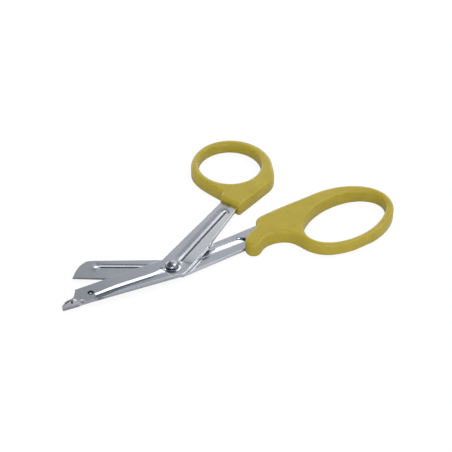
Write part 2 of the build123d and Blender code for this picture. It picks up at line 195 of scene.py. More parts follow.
def sheet_mesh(name, left, right, columns, rim, top, bottom, degrees, crease, keen, guide):
    """A closed sheet between two edge lines. Its upper and lower faces have the heights that top and
    bottom give for each point, less a quarter round of the rim's radius near the outline, and the rows
    run round the section, so the side walls close it. It is turned by the half's own angle.
    Keen is one where the edge is left unrounded. Painted_shade_and_highlight gives each point's mark
    from its place and height: above nought for painted shade, below nought for painted highlight."""
    outline = np.concatenate([left, right[::-1]])

    def face(count, height, sign):
        plan = across(left, right, count, rim, guide)
        far = np.minimum(distance_to_line(plan, outline), rim)
        drop = rim - np.sqrt(np.maximum(rim**2 - (rim - far) ** 2, 0))
        return np.concatenate([plan, (height(plan) - sign * drop * (1 - keen(plan)))[..., None]], -1)

    high = face(columns, top, 1)
    low = face(columns // 3, bottom, -1)[:, ::-1]
    part = np.linspace(0, 1, 6)[None, 1:-1, None]
    down = high[:, -1:] * (1 - part) + low[:, :1] * part
    up = low[:, -1:] * (1 - part) + high[:, :1] * part
    loop = np.concatenate([high, down, low, up], axis=1)
    rows, count = loop.shape[:2]
    index = np.arange(rows * count).reshape(rows, count)
    after = np.roll(index, -1, axis=1)
    quads = np.stack([index[:-1], index[1:], after[1:], after[:-1]], -1).reshape(-1, 4)
    points = loop.reshape(-1, 3)
    corners = points[quads]
    volume = np.einsum("ij,ij->i", corners[:, 0], np.cross(corners[:, 1], corners[:, 2])).sum()
    volume += np.einsum("ij,ij->i", corners[:, 0], np.cross(corners[:, 2], corners[:, 3])).sum()
    outward = 1 if volume >= 0 else -1
    faces = quads[:, ::outward].tolist() + [index[0][::outward].tolist(), index[-1][::-outward].tolist()]
    marks = crease(loop[..., :2], loop[..., 2]).ravel()
    placed = np.concatenate([turned(points[:, :2], degrees), points[:, 2:]], -1)
    return new_piece(name, placed, faces, marks)


def new_piece(name, points, faces, marks=None):
    """A mesh object at the origin from points in millimetres and faces, smooth shaded."""
    mesh = bpy.data.meshes.new(name)
    mesh.from_pydata((points * MM).tolist(), [], faces)
    mesh.polygons.foreach_set("use_smooth", np.ones(len(faces), bool))
    # The marks are painted shade above nought and painted highlight below it
    if marks is not None:
        attribute = mesh.attributes.new("crease", "FLOAT", "POINT")
        attribute.data.foreach_set("value", np.asarray(marks, np.float32))
    mesh.update()
    piece = bpy.data.objects.new(name, mesh)
    bpy.context.scene.collection.objects.link(piece)
    return piece


# Materials

# The colour that painted shade on the steel darkens towards, in folds, pits and on walls
PAINTED_SHADE_COLOUR = "#3a3f4a"


def linear(code):
    """An sRGB hex colour as linear red, green, blue and alpha, by the sRGB curve."""
    parts = [int(code[i:i + 2], 16) / 255 for i in (1, 3, 5)]
    return [c / 12.92 if c <= 0.04045 else ((c + 0.055) / 1.055) ** 2.4 for c in parts] + [1.0]


def node(tree, kind, settings=None, **links):
    """Adds one node, sets its properties, inputs and colour stops, and links named inputs to outputs.
    Stops are positions and sRGB hex colours. A link's name is the input's, or i and its number."""
    made = tree.nodes.new(kind)
    for key, value in (settings or {}).items():
        if key == "stops":
            elements = made.color_ramp.elements
            while len(elements) < len(value):
                elements.new(0.5)
            for element, (position, code) in zip(elements, value):
                element.position = position
                element.color = linear(code)
        elif isinstance(key, str) and hasattr(made, key):
            setattr(made, key, value)
        else:
            made.inputs[key].default_value = value
    for key, value in links.items():
        name = int(key[1:]) if key[0] == "i" and key[1:].isdigit() else key.replace("_", " ")
        tree.links.new(value, made.inputs[name])
    return made


def material(name):
    """An empty node material with its output."""
    made = bpy.data.materials.new(name)
    made.use_nodes = True
    made.node_tree.nodes.clear()
    return made, made.node_tree, made.node_tree.nodes.new("ShaderNodeOutputMaterial")


def stainless_satin(looks):
    """Stainless steel, rolled, stamped and satin polished: pale neutral grey with fine short scratches
    in all directions, so reflections keep their shape but have soft edges."""
    made, tree, out = material("stainless_steel_satin_polished")
    place = node(tree, "ShaderNodeTexCoord").outputs["Object"]
    # Polishing scratches are about 0.05 mm apart, and are drawn 0.35 mm apart so that they show
    fine = node(tree, "ShaderNodeTexNoise", {"Scale": 2800.0, "Detail": 3.0, "Roughness": 0.6},
                Vector=place)
    # Cloudy wear from handling, 12 mm across
    cloud = node(tree, "ShaderNodeTexNoise", {"Scale": 80.0, "Detail": 2.0}, Vector=place)
    steels = [(0.3, looks.steel_shade), (0.7, looks.steel_tint)]
    tone = node(tree, "ShaderNodeValToRGB", {"stops": steels}, Fac=cloud.outputs["Fac"])
    # Marks below nought are a painted highlight towards white, marks above nought painted shade
    mark = node(tree, "ShaderNodeAttribute", {"attribute_name": "crease"})
    shine = node(tree, "ShaderNodeMapRange", {"From Min": 0.0, "From Max": -1.0}, Value=mark.outputs["Fac"])
    painted_highlight = node(tree, "ShaderNodeMix", {"data_type": "RGBA", 7: linear("#ffffff")},
                     i0=shine.outputs[0], i6=tone.outputs["Color"])
    dark = node(tree, "ShaderNodeMix",
                {"data_type": "RGBA", "blend_type": "MULTIPLY", 7: linear(PAINTED_SHADE_COLOUR)},
                i0=mark.outputs["Fac"], i6=painted_highlight.outputs[2])
    rough = node(tree, "ShaderNodeMapRange", {"To Min": looks.steel_roughness - 0.03,
                                              "To Max": looks.steel_roughness + 0.03},
                 Value=fine.outputs["Fac"])
    bump = node(tree, "ShaderNodeBump", {"Strength": 0.08, "Distance": 0.00002},
                Height=fine.outputs["Fac"])
    shader = node(tree, "ShaderNodeBsdfPrincipled", {"Metallic": 1.0}, Base_Color=dark.outputs[2],
                  Roughness=rough.outputs[0], Normal=bump.outputs[0])
    tree.links.new(shader.outputs[0], out.inputs[0])
    return made


def steel_polished(looks):
    """Stainless steel, cold headed and tumble polished: a brighter, sharper mirror than the blades."""
    made, tree, out = material("stainless_steel_tumble_polished")
    place = node(tree, "ShaderNodeTexCoord").outputs["Object"]
    # Tumbling leaves dents about 0.5 mm wide
    dents = node(tree, "ShaderNodeTexNoise", {"Scale": 1500.0, "Detail": 2.0}, Vector=place)
    steels = [(0.3, looks.rivet_shade), (0.7, looks.rivet_tint)]
    tone = node(tree, "ShaderNodeValToRGB", {"stops": steels}, Fac=dents.outputs["Fac"])
    # Painted shade on the dome: the point marks darken the tone towards the painted shade colour
    mark = node(tree, "ShaderNodeAttribute", {"attribute_name": "crease"})
    dark = node(tree, "ShaderNodeMix",
                {"data_type": "RGBA", "blend_type": "MULTIPLY", 7: linear(PAINTED_SHADE_COLOUR)},
                i0=mark.outputs["Fac"], i6=tone.outputs["Color"])
    bump = node(tree, "ShaderNodeBump", {"Strength": 0.1, "Distance": 0.00003},
                Height=dents.outputs["Fac"])
    shader = node(tree, "ShaderNodeBsdfPrincipled", {"Metallic": 1.0, "Roughness": 0.2},
                  Base_Color=dark.outputs[2], Normal=bump.outputs[0])
    tree.links.new(shader.outputs[0], out.inputs[0])
    return made


def polypropylene_moulded(looks):
    """Polypropylene, injection moulded in a finely textured tool: an olive yellow with a soft sheen,
    faint flow clouds and a slightly uneven skin."""
    made, tree, out = material("polypropylene_moulded")
    place = node(tree, "ShaderNodeTexCoord").outputs["Object"]
    # Flow clouds about 9 mm across, and the tool's texture about 0.4 mm across
    flow = node(tree, "ShaderNodeTexNoise", {"Scale": 110.0, "Detail": 2.0}, Vector=place)
    grain = node(tree, "ShaderNodeTexNoise", {"Scale": 2300.0, "Detail": 2.0}, Vector=place)
    plastics = [(0.3, looks.plastic_shade), (0.7, looks.plastic_tint)]
    tone = node(tree, "ShaderNodeValToRGB", {"stops": plastics}, Fac=flow.outputs["Fac"])
    rough = node(tree, "ShaderNodeMapRange", {"To Min": looks.plastic_roughness - 0.04,
                                              "To Max": looks.plastic_roughness + 0.04},
                 Value=grain.outputs["Fac"])
    # The moulding's edges catch the light as if rounded over 1.4 mm more than the solid's
    soft = node(tree, "ShaderNodeBevel", {"samples": 16, "Radius": 0.0014})
    bump = node(tree, "ShaderNodeBump", {"Strength": 0.12, "Distance": 0.00004},
                Height=grain.outputs["Fac"], Normal=soft.outputs["Normal"])
    shader = node(tree, "ShaderNodeBsdfPrincipled", {"IOR": 1.49}, Base_Color=tone.outputs["Color"],
                  Roughness=rough.outputs[0], Normal=bump.outputs[0])
    tree.links.new(shader.outputs[0], out.inputs[0])
    return made


# Sizes and colours that a user may change


class BladeSizes(bpy.types.PropertyGroup):
    """Sizes of the stamped halves."""

    sheet: bpy.props.FloatProperty(name="Sheet", description="Thickness of the steel",
                                   default=0.0018, precision=5, unit="LENGTH")
    rim: bpy.props.FloatProperty(name="Edge rounding", description="Radius of the deburred edge",
                                 default=0.000308, precision=5, unit="LENGTH")
    bead: bpy.props.FloatProperty(name="Bead height", description="Height of the pressed bead",
                                  default=0.0008, precision=5, unit="LENGTH")
    probe_top: bpy.props.FloatProperty(name="Upper face", description="Level of the upper half",
                                       default=0.005, precision=5, unit="LENGTH")
    plain_top: bpy.props.FloatProperty(name="Lower face", description="Level of the lower half",
                                       default=0.00315, precision=5, unit="LENGTH")


class Looks(bpy.types.PropertyGroup):
    """Colours, as sRGB hex values, and finishes."""

    steel_tint: bpy.props.StringProperty(name="Steel", description="Lighter steel", default="#dadce0")
    steel_shade: bpy.props.StringProperty(name="Steel shade", description="Darker steel",
                                          default="#d0d2d7")
    steel_roughness: bpy.props.FloatProperty(name="Steel roughness", description="Satin polish",
                                             default=0.2, min=0.05, max=0.8, subtype="FACTOR")
    rivet_tint: bpy.props.StringProperty(name="Rivet", description="Lighter steel of the rivet",
                                         default="#cdcfd3")
    rivet_shade: bpy.props.StringProperty(name="Rivet shade", description="Darker steel of the rivet",
                                          default="#c2c4c9")
    plastic_tint: bpy.props.StringProperty(name="Plastic", description="Lighter plastic",
                                           default="#b19e2c")
    plastic_shade: bpy.props.StringProperty(name="Plastic shade", description="Darker plastic",
                                            default="#a89624")
    plastic_roughness: bpy.props.FloatProperty(name="Plastic roughness", description="Soft sheen",
                                               default=0.29, min=0.05, max=0.8, subtype="FACTOR")


class StudioSizes(bpy.types.PropertyGroup):
    """The camera."""

    elevation: bpy.props.FloatProperty(name="Camera elevation", description="Above the table",
                                       default=math.radians(38), subtype="ANGLE", unit="ROTATION")
    camera: bpy.props.FloatVectorProperty(name="Camera place", description="From the pivot on the table",
                                          default=(0.02788, -0.4720, 0.3995), precision=5,
                                          subtype="XYZ", unit="LENGTH")
    lens: bpy.props.FloatProperty(name="Lens", description="Focal length", default=95.575,
                                  unit="CAMERA")


# The pieces. Each half is drawn with its shank along the x axis and the pivot at the origin, in
# millimetres, and then turned to where its shank points at rest, in degrees. Port is its left side.
PROBE_TURN, PLAIN_TURN = 58.7, 33.6


class SCISSORS_OT_probe_blade(bpy.types.Operator):
    """Makes the stamped half with the notch and the turned up foot"""

    bl_idname = "scissors.probe_blade"
    bl_label = "Probe blade"

    def execute(self, context):
        sizes = context.scene.scissors_blades
        top, sheet, bead = sizes.probe_top / MM, sizes.sheet / MM, sizes.bead / MM
        # Degrees from the shank to the blade, and from its cutting edge to its back
        bend, taper = 29.6, 5.2
        # The cutting edge, the back, the foot's end and the shank's port edge, from the pivot
        edge_y, back, reach, port_y = 6.7, 8.5, 61.7, 6.9
        notch_x, notch_depth, notch_lean = -50.8, 4.3, 32
        collar_radius = 4.8
        # The foot's rim above the plate, its level at the tip, and where along it the rim is highest
        foot_height, foot_tip, foot_peak = 3.2, 0.8, 5.0
        lean = math.radians(taper)
        tip = np.array([-reach, reach * math.tan(lean) - back / math.cos(lean)])

        def foot_frame(x, y):
            """A place along and across the back edge, from the tip, as a place in the half's plane."""
            return turned(tip + turned([x, y], -taper), -bend)

        def from_tip(points):
            """The other way round: places in the half's plane as those along and across the back edge."""
            local = turned(turned(points, bend) - tip, taper)
            return local[..., 0], local[..., 1]

        def about_rivet(points):
            """Distance from the pivot, and direction in degrees as the half lies at rest."""
            x, y = np.moveaxis(turned(points, PROBE_TURN), -1, 0)
            return np.hypot(x, y), np.degrees(np.arctan2(y, x))

        def cutting(x):
            """The place on the cutting edge at a distance along the blade from the pivot."""
            return turned([x, edge_y], -bend)

        def back_at(x):
            """The place on the back edge, the same way."""
            return foot_frame(x + reach, 0.0)

        # The outline, as rows from the port side to the starboard side
        port = meeting(port_y, 0, edge_y, -bend)
        heel = meeting(-back, -bend - taper, -9.0, 1.9)
        shoulder, step, mouth = np.array([22.7, -8.25]), np.array([27.3, -7.1]), np.array([63.0, -3.16])
        heel_arc = rounded_corner(back_at(-20), heel, shoulder, 4.5, 15)
        port_arc = rounded_corner(cutting(-10), port, [20, port_y], 1.2, 15)
        notch_low = [notch_x - notch_depth * math.tan(math.radians(notch_lean)), edge_y - notch_depth]
        low = turned(notch_low - tip, taper)
        high = turned([notch_x, edge_y] - tip, taper)
        foot_keys = [(foot_frame(0.0, 0.8), foot_frame(0.0, -0.15)),
                     (foot_frame(0.2, 1.5), foot_frame(0.2, -0.5)),
                     (foot_frame(0.5, 2.1), foot_frame(0.5, -0.6)),
                     (foot_frame(5.0, 4.3), foot_frame(5.0, -0.6)),
                     (foot_frame(*low), foot_frame(low[0], -0.6)),
                     (foot_frame(*high), foot_frame(high[0], -0.2)),
                     (cutting(-45.0), foot_frame(high[0] + 5.6, 0.0))]
        keys = [foot_keys[-1], (cutting(-12.0), back_at(-14.0))]
        keys += list(zip(port_arc, heel_arc))
        keys += [((22.0, port_y), shoulder), ((26.6, port_y), step), ((63.0, port_y), mouth),
                 ((64.2, 2.8), (64.2, -2.6)), ((68.0, 2.8), (68.0, -2.6))]
        foot_left, foot_right = rows_between(foot_keys, 0.16)
        rest_left, rest_right = rows_between(keys, 0.3)
        left = np.concatenate([foot_left, rest_left[1:]])
        right = np.concatenate([foot_right, rest_right[1:]])
        near_edge = np.concatenate([rest_right[::4], rest_right[::-4]])

        # The crests of the beads, and the line that a column of the mesh follows along them
        blade_run = turned([[-43.9, -2.72], [-34.0, -2.85], [-20.0, -3.25], [-10.5, -3.5]], -bend)
        shank_run = np.array([[3.7, -2.6], [7.0, -1.75], [16.0, -1.4], [34.0, -0.65], [52.6, -0.05]])
        blade_crest = curve_through(np.concatenate([blade_run, [[-4.7, -0.2]]]), 0.5)
        shank_crest = curve_through(shank_run, 0.5)
        length = along_path(blade_crest[-1:], blade_crest)[1][0]
        ring = np.radians([-150.0, -120.0, -90.0, -62.0])
        round_rivet = collar_radius * np.stack([np.cos(ring), np.sin(ring)], -1)
        guide = curve_through(np.concatenate([turned([[-60.0, -2.7]], -bend), blade_run, round_rivet,
                                              shank_run, [[68.5, 0.4]]]), 0.5)
        dot = turned([-44.8, 0.9], -bend)

        def blade_bead(points):
            """Along the blade: an even flank to the port side of the crest, and on the starboard side a
            short steep one that runs out in a gentle one down to the back edge."""
            side, place = along_path(points, blade_crest)
            x = turned(points, bend)[..., 0]
            wide = np.clip(2.0 + (x + 44.0) * 0.075, 1.9, 4.8)
            falling = 0.70 * np.clip(1 + side / wide, 0, 1) + 0.30 * np.exp(np.minimum(side, 0) / 0.42)
            port_width = 2.1 + 0.9 * smooth(place / 14.0) - 0.1 * smooth(place / length)
            rise = np.where(side >= 0, np.clip(1 - side / port_width, 0, 1), falling)
            crest = bead * (0.75 + 0.4 * smooth(place / 12.0))
            return crest * rise * smooth(place / 0.7) * (1 - smooth((place - length + 1.4) / 1.4))

        def collar(points):
            """Round the rivet: a low wall whose inner flank is even and whose outer one is short and
            steep, eased in and out by the direction from the pivot."""
            far, angle = about_rivet(points)
            past = far - collar_radius
            inside = np.clip(1 + past / 1.4, 0, 1)
            outside = 0.65 * np.exp(-np.maximum(past, 0) / 0.5) + 0.35 * (1 - smooth(past / 3.0))
            return 0.5 * np.where(past < 0, inside, outside) * band(angle, -128, 40, 36)

        def shank_bead(points):
            """Along the shank: a narrow flank to port, a steep one to starboard, a faint trough beside
            the first and a plate that rises gently beside the second."""
            side, place = along_path(points, shank_crest)
            crest = (0.31 + 0.12 * (1 - smooth(place / 9.0))) * smooth(place / 1.2)
            rise = np.where(side >= 0, np.clip(1 - side / 1.8, 0, 1), 1 - smooth(-side / 0.7))
            trough = 0.15 * np.clip(1 - ((side - 3.6) / 1.6) ** 2, 0, 1) * band(place, 4.0, 34.0, 8.0)
            beside = np.clip(-side - 0.7, 0, 6) * band(place, 1.0, 52.0, 3.0)
            return crest * rise - trough + 0.03 * beside + 0.09 * (1 - np.exp(-beside / 1.2))

        def relief(points):
            """The highest of the three beads, and a low lip along the back edge of the blade."""
            x, y = from_tip(points)
            lip = 0.1 * np.clip(1 - y, 0, 1) * band(x, 24, 60, 14)
            return lip + np.maximum(np.maximum(blade_bead(points), collar(points)), shank_bead(points))

        def dimple(points):
            """The round pit beside the tip end of the bead: an eased bowl, with a facet in it that leans to
            the port side."""
            offset = turned(points - dot, PROBE_TURN)
            far = np.hypot(offset[..., 0], offset[..., 1])
            return -0.3 * (1 - smooth(far / 1.5)) - 0.3 * offset[..., 1] * (1 - smooth(far / 0.7))

        def foot(points):
            """The turned up flange: from the plate it rises steeply, near the back edge, to its rim. The
            rim is a quarter of an ellipse up to its peak and eases down to the plate behind it."""
            x, y = from_tip(points)
            round_front = np.sqrt(np.clip(1 - ((foot_peak - x) / foot_peak) ** 2, 0, 1))
            front = foot_tip + (sheet + foot_height - foot_tip) * round_front
            behind = sheet + foot_height * (1 - smooth((x - foot_peak) / 7.0))
            return (np.where(x < foot_peak, front, behind) - sheet) * smooth((2.2 - y) / 1.2)

        def upper(points):
            """The upper face: its level and the heights of what is pressed and turned up, added up."""
            return top + relief(points) + foot(points) + dimple(points)

        def lower(points):
            """The lower face: level, the sheet's thickness below the upper one's level."""
            return np.full(points.shape[:-1], top - sheet)

        def crease(points, height):
            """Painted shade above nought and painted highlight below it: each mark is a product of eased
            bands along its line, across it and over the height, and the marks are added up."""
            x, y = from_tip(points)
            on_face = height > top - 0.3
            # Painted shade in a ring round the dimple
            pit_shade = band(np.linalg.norm(points - dot, axis=-1), 0.55, 1.6, 0.4)

            # The foot: painted shade on the line inside its rim, the rim's cut end, its outer wall and its
            # inner slope, with a spot on the slope that stays clear
            fold_shade = 0.5 * band(y, -0.5, 0.4, 0.4) * band(x, 0.2, 4.4, 0.8) * smooth((height - 3.6) / 1.0)
            cut_shade = 0.9 * band(x, 4.5, 5.5, 0.3) * band(height, 6.4, 8.1, 0.4) * band(y, -1, 2.2, 0.3)
            wall_shade = (0.62 - 0.5 * smooth((height - 3.2) / 3.2)) * (1 - smooth((y + 0.45) / 0.2))
            wall_shade = wall_shade * band(x, -1.0, 9.0, 4.0)
            slope = 0.8 * smooth((x - 4.6) / 1.2) * smooth((foot(points) - 0.01) / 0.12)
            slope = slope * smooth((y + 0.4) / 0.3) * (height > top - 0.4)
            slope = slope * (1 - 0.95 * np.exp(-((x - 6.6) ** 2 + (y - 1.5) ** 2) / 1.1))

            # The starboard edge: a painted highlight along it on the shank, a painted highlight line beside
            # it on the blade, and painted shade on the side walls below the face
            near = distance_to_line(points, near_edge)
            on_shank = smooth((points[..., 0] + 5.0) / 4.0)
            edge = np.exp(-(near / 0.5) ** 2) * smooth((height - top + 0.9) / 0.3) * on_shank
            highlight_beside = band(near, 0.4, 1.1, 0.3) * smooth((x - 20.0) / 5.0)
            edge = np.maximum(edge, highlight_beside * (1 - on_shank) * (height > top - 0.2))
            low = 0.32 * smooth((top - 0.1 - height) / 0.12) * smooth((x - 9.0) / 3.0) * (1 - edge)

            # The shank: painted shade on the steep flank, in the trough and round the bead's far end,
            # and a painted highlight on the plate beside
            side, place = along_path(points, shank_crest)
            line = 0.95 * band(-side, 0.0, 0.95, 0.2) * band(place, 1.6, 50.0, 0.8)
            trough = 0.27 * band(side, 1.7, 4.2, 1.6) * band(place, 4.0, 52.0, 4.0)
            past = -side - 0.95
            bright = 0.55 * smooth(past / 0.2) + 0.35 * np.exp(-np.clip(past, 0, None) / 0.6)
            bright = bright * (side < -0.9) * smooth((place - 1.0) / 9.0) * on_face
            bright = np.maximum(bright, 0.95 * edge)
            away = points - shank_run[-1]
            arc_shade = 0.7 * band(np.linalg.norm(away, axis=-1), 1.7, 2.4, 0.3) * smooth(away[..., 0] + 0.8)

            # The blade: painted shade on the steep flank of its bead, and in a bow outside the collar
            side, place = along_path(points, blade_crest)
            wide = 2.1 - 1.1 * smooth(place / 24.0)
            shade = 0.45 * band(-side, 0.05, wide, 0.5) * band(place, 0.4, length - 3.0, 1.5)
            far, angle = about_rivet(points)
            bow_shade = 0.8 * band(far, 4.75, 6.2, 0.6) * band(angle, -162, -62, 30) * on_face

            dark = pit_shade + fold_shade + cut_shade + wall_shade + slope + low + line + trough + arc_shade + shade + bow_shade
            return np.clip(dark, 0, 1) - np.clip(bright, 0, 1) * (dark < 0.1)

        def keen(points):
            """The ground cutting edge: one within a millimetre of it, along the blade."""
            local = turned(points, bend)
            return smooth((local[..., 1] - edge_y + 1.0) / 0.3) * smooth((-8.0 - local[..., 0]) / 2.0)

        piece = sheet_mesh("probe_blade_steel", left, right, 84, sizes.rim / MM, upper, lower, PROBE_TURN,
                           crease, keen, guide)
        piece.data.materials.append(stainless_satin(context.scene.scissors_looks))
        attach(piece, "thumb_half")
        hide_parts("probe_blade")
        return {"FINISHED"}


class SCISSORS_OT_plain_blade(bpy.types.Operator):
    """Makes the stamped half with the round nose"""

    bl_idname = "scissors.plain_blade"
    bl_label = "Plain blade"

    def execute(self, context):
        sizes = context.scene.scissors_blades
        top, sheet = sizes.plain_top / MM, sizes.sheet / MM
        # Degrees from the shank to the blade, and from its cutting edge to its back
        bend, taper = 35.7, 3.1
        # The cutting edge, the blade's end, the back and the shank's two edges, from the pivot
        edge, length, back, port_y, starboard_y = 9.6, 49.9, 7.15, 5.6, -7.6
        # The ground edge: how far the bevel reaches in, and the thickness that it leaves
        grind_width, land = 2.6, 0.75
        trough_width, trough_depth = 4.2, 0.7

        def blade(x, y):
            """A place along and across the blade as a place in the half's plane."""
            return turned([x, y], -bend)

        # The outline, as rows from the port side to the starboard side
        slope = math.tan(math.radians(taper))
        back_y = back / math.cos(math.radians(taper))
        port = meeting(port_y, 0, back, taper - bend)
        heel = meeting(-5.0, -bend, starboard_y, 0)
        nose = curve_through([[-39.0, back_y - 39.0 * slope], [-41.0, back_y - 41.0 * slope], [-44.6, 4.05],
                              [-47.3, 0.8], [-49.0, -3.6], [-49.8, -8.0], [-length, -edge]], 0.35)[::-1]
        upper_line = np.concatenate([nose, [[-13.0, back_y - 13 * slope]]])
        lower_line = np.stack([upper_line[:, 0], np.full(len(upper_line), -edge)], -1)
        keys = [(blade(*a), blade(*b)) for a, b in zip(upper_line, lower_line)]
        keys += [(blade(-6.0, back_y - 6 * slope), blade(-3.5, -5.0)), (port, heel),
                 ((60.0, port_y), (60.0, starboard_y)), ((61.2, 4.4), (61.2, -6.4)),
                 ((64.0, 4.4), (64.0, -6.4))]
        left, right = rows_between(keys, 0.3)

        # The pressed line, the trough's starboard edge, and the line that a column of the mesh follows
        line_run = [blade(-37.6, -0.35), blade(-24.0, 0.0), blade(-10.0, 0.35)]
        blade_path = curve_through(line_run, 0.8)
        shank_path = curve_through([[5.0, -0.64], [27.0, -1.6], [40.4, -2.2]], 0.8)
        guide = curve_through([blade(-60.0, -0.6)] + line_run
                              + [[11.0, 3.1], [27.0, 2.4], [43.0, 1.7], [64.5, 0.8]], 0.8)
        spot = blade(-38.9, -0.3)

        def across_line(points):
            """How far across the pressed line a point lies, from its port side, and how far along it."""
            side, place = along_path(points, blade_path)
            return (2.6 - side) / 1.1, place

        def upper(points):
            """Level, but for the pressed line, which drops, rises and drops again in eased steps, the
            round end of it, which leans, and the trough, which deepens evenly and ends steeply."""
            t, place = across_line(points)
            line = (-0.12 * smooth(t / 0.9) + 0.14 * np.clip((t - 1.0) / 1.2, 0, 1)
                    - 0.02 * smooth((t - 2.2) / 0.5))
            away = turned(points - spot, bend)
            swell = -0.24 * away[..., 1] * np.exp(-away[..., 0] ** 2 / 1.4 - away[..., 1] ** 2 / 3.6)
            v = np.clip(along_path(points, shank_path)[0] + 0.2, 0, None)
            u = v / trough_width
            trough = np.where(u < 1, 0.85 * u + 0.15 * u * u, 1 - smooth((v - trough_width) / 0.9))
            return top + line * band(place, 0.3, 40.0, 1.2) + swell - trough_depth * trough

        def lower(points):
            """Level, but for the bevel under the cutting edge, which rises evenly to the land."""
            local = turned(points, bend)
            rise = np.clip((-edge + grind_width - local[..., 1]) / grind_width, 0, 1) * (sheet - land)
            return top - sheet + rise * (1 - smooth(local[..., 0] + 13.5))

        def crease(points, height):
            """Painted shade, and darker steel along the ground cutting edge: each mark is a product of
            eased bands along its line and across it, and the marks are added up."""
            x, y = points[..., 0], points[..., 1]
            t, place = across_line(points)
            # Painted shade on the pressed line: a dark line on its last drop and a softer one on its first
            fold_shade = band(t, 2.2, 3.0, 0.25) * band(place, 0.8, 30.0, 0.6)
            first = 0.35 * band(t, 0.0, 0.9, 0.4) * band(place, 1.5, 42.0, 2.0)
            local = turned(points, bend)
            ground = 0.55 * smooth((-edge + 0.45 - local[..., 1]) / 0.3) * smooth(-13.0 - local[..., 0])
            # Painted shade at the trough's far end and on its steep wall, and painted shadow where the
            # other half lies over it
            far_end_shade = 0.7 * band(np.hypot(x - 44.9, y + 0.5), -1, 1.1, 0.5)
            side, place = along_path(points, shank_path)
            wall_shade = 0.35 * band(side, 4.2, 4.9, 0.2) * band(place, 0, 40, 2)
            shade = 0.95 * np.exp(-(x - 18.0) ** 2 / 7.0 - (y + 2.7) ** 2 / 0.7)
            return np.clip(fold_shade + first + ground + far_end_shade + wall_shade + shade, 0, 1)

        def keen(points):
            """Nought: every edge of this half is rounded on the upper side."""
            return np.zeros(points.shape[:-1])

        piece = sheet_mesh("plain_blade_steel", left, right, 116, sizes.rim / MM, upper, lower, PLAIN_TURN,
                           crease, keen, guide)
        piece.data.materials.append(stainless_satin(context.scene.scissors_looks))
        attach(piece, "finger_half")
        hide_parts("plain_blade")
        return {"FINISHED"}


class SCISSORS_OT_handles(bpy.types.Operator):
    """Finishes the moulded handles"""

    bl_idname = "scissors.handles"
    bl_label = "Handles"

    def execute(self, context):
        plastic = polypropylene_moulded(context.scene.scissors_looks)
        for name in ("thumb_handle", "finger_handle"):
            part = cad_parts[name]
            part.data.materials.clear()
            part.data.materials.append(plastic)
        return {"FINISHED"}


class SCISSORS_OT_rivet(bpy.types.Operator):
    """Makes the rivet, turned round its axis"""

    bl_idname = "scissors.rivet"
    bl_label = "Rivet"

    def execute(self, context):
        # The dome's seat, side and top as levels, and the radii and height of what is below it
        seat, side, crown = 5.04, 5.34, 7.14
        dome, shaft, head, head_flat, head_height = 3.3, 2.0, 3.7, 2.2, 1.35
        # The profile: quarter ellipses for the head and the dome, carried round the axis
        u = np.linspace(0, math.pi / 2, 40)
        cap = np.stack([dome * np.cos(u), side + (crown - side) * np.sin(u)], -1)
        v = np.linspace(0, math.pi / 2, 10)
        low = np.stack([head_flat + (head - head_flat) * np.sin(v), head_height * (1 - np.cos(v))], -1)
        profile = np.concatenate([low, [[head, head_height], [shaft, head_height], [shaft, seat],
                                        [dome, seat]], cap[:-1]])
        a = np.linspace(0, 2 * math.pi, 96, endpoint=False)
        rings = np.stack([profile[:, None, 0] * np.cos(a), profile[:, None, 0] * np.sin(a),
                          np.repeat(profile[:, None, 1], len(a), 1)], -1).reshape(-1, 3)
        points = np.concatenate([[[0, 0, 0], [0, 0, crown]], rings])
        index = 2 + np.arange(len(rings)).reshape(-1, len(a))
        after = np.roll(index, -1, axis=1)
        faces = np.stack([index[:-1], after[:-1], after[1:], index[1:]], -1).reshape(-1, 4).tolist()
        faces += np.stack([np.full(len(a), 0), after[0], index[0]], -1).tolist()
        faces += np.stack([np.full(len(a), 1), index[-1], after[-1]], -1).tolist()

        # Painted shade round the dome's foot and on its far side, a soft patch of painted shade, and the
        # highlight left clear
        x, y, z = points.T
        on_dome = z > 5.0
        inner = 2.6 + 0.4 * smooth(-y / 1.5)
        ring = (0.5 + 0.35 * smooth(0.3 - y)) * smooth((np.hypot(x, y) - inner) / 0.35)
        ring = np.maximum(ring, (0.18 + 0.4 * smooth((y - 0.1) / 1.2)) * on_dome)
        shade_patch = 0.6 * np.exp(-((x + 0.9) ** 2 / 0.8 + (y + 0.3) ** 2 / 3.0)) * on_dome
        clear = np.exp(-((x - 1.6) ** 2 + (y + 1.3) ** 2) / 1.2)
        piece = new_piece("pivot_rivet_steel", points, faces, np.clip(ring + shade_patch, 0, 1) * (1 - clear))
        piece.data.materials.append(steel_polished(context.scene.scissors_looks))
        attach(piece, "finger_half")
        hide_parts("pivot_rivet")
        return {"FINISHED"}


# The stage

# Soft boxes: name, place, what each faces, width and height in metres, and watts
LAMPS = (
    ("key", (0.536, 0.329, 0.779), (0.0, 0.0, 0.0), (0.6, 0.6), 1.9),
    ("strip", (-0.1, 1.60, 0.42), (0.0, 0.0, 0.0), (2.4, 0.5), 5.8),
    ("front", (0.15, -0.75, 0.95), (0.03, 0.04, 0.0), (0.4, 0.25), 1.85),
    ("edge", (0.66, -0.33, 0.67), (0.0, 0.0, 0.0), (0.6, 0.6), 0.8),
    ("fill", (0.0, -1.30, 0.36), (0.03, 0.04, 0.0), (1.8, 0.5), 4.0),
)


